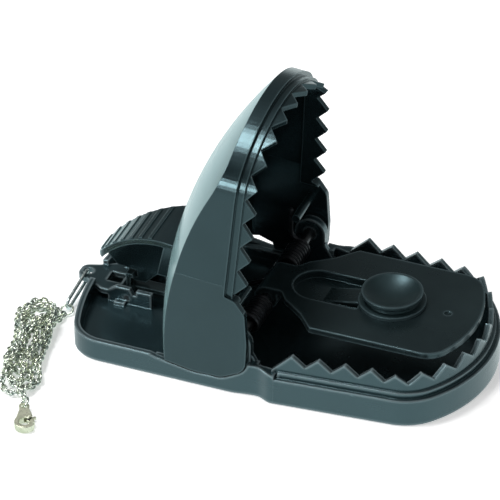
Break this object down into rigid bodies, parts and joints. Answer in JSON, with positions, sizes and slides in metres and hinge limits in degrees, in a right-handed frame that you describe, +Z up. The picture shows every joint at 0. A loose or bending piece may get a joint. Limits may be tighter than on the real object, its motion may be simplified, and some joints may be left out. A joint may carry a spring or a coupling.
{
  "type": "snap-jaw rat trap",
  "caption": "Plastic snap-jaw rat trap, set open, with saw teeth, treadle, bait cup, arched handle and a chain with clasp.",
  "frame": {"origin": "middle of the base's flat underside, which rests on the ground", "axes": "+X towards the mouth and its lower teeth, +Y to the trap's left, +Z up"},
  "size_m": [0.1659, 0.1283, 0.0983],
  "materials": {
    "base_plastic": "gloss",
    "jaw_plastic": "gloss",
    "pedal_plastic": "gloss",
    "cup_plastic": "gloss",
    "catch_plastic": "gloss",
    "pin_steel": "bright",
    "spring_steel": "satin",
    "link_metal": "bright",
    "chain_metal": "bright",
    "clasp_metal": "bright"
  },
  "bodies": {
    "base": {"base": "base_plastic", "hinge_pin": "pin_steel", "catch_pin": "pin_steel", "spring_left": "spring_steel", "spring_right": "spring_steel", "chain_shackle": "link_metal", "chain_ring": "chain_metal", "chain_lead": "chain_metal", "chain_hank": "chain_metal", "chain_tail": "chain_metal", "clasp_ring": "chain_metal", "clasp_body": "clasp_metal", "clasp_rivet": "clasp_metal", "clasp_spring": "spring_steel"},
    "jaw": {"jaw": "jaw_plastic"},
    "pedal": {"pedal": "pedal_plastic"},
    "cup": {"bait_cup": "cup_plastic"},
    "catch": {"catch": "catch_plastic"},
    "gate": {"clasp_gate": "clasp_metal"}
  },
  "joints": [
    {"name": "jaw_hinge", "type": "hinge", "parent": "base", "child": "jaw", "pos_m": [-0.0065, 0, 0.0182], "axis": [0, 1, 0], "range_deg": [0, 85.9], "deforming": ["spring_left", "spring_right"]},
    {"name": "pedal_hinge", "type": "hinge", "parent": "base", "child": "pedal", "pos_m": [-0.0065, 0, 0.0182], "axis": [0, 1, 0], "range_deg": [0, 5]},
    {"name": "cup_slide", "type": "slide", "parent": "pedal", "child": "cup", "axis": [0, 0, 1], "range_m": [0, 0.008]},
    {"name": "catch_hinge", "type": "hinge", "parent": "base", "child": "catch", "pos_m": [-0.0585, 0, 0.0044], "axis": [0, 1, 0], "range_deg": [-12, 0]},
    {"name": "gate_hinge", "type": "hinge", "parent": "base", "child": "gate", "pos_m": [-0.06361, -0.08095, 0.0012], "axis": [0, 0, -1], "range_deg": [0, 25], "stiffness_Nm_per_rad": 0.0004, "deforming": ["clasp_spring"]}
  ],
  "couplings": [
    {"joint": "catch_hinge", "follows": "pedal_hinge", "ratio": -2.4}
  ]
}
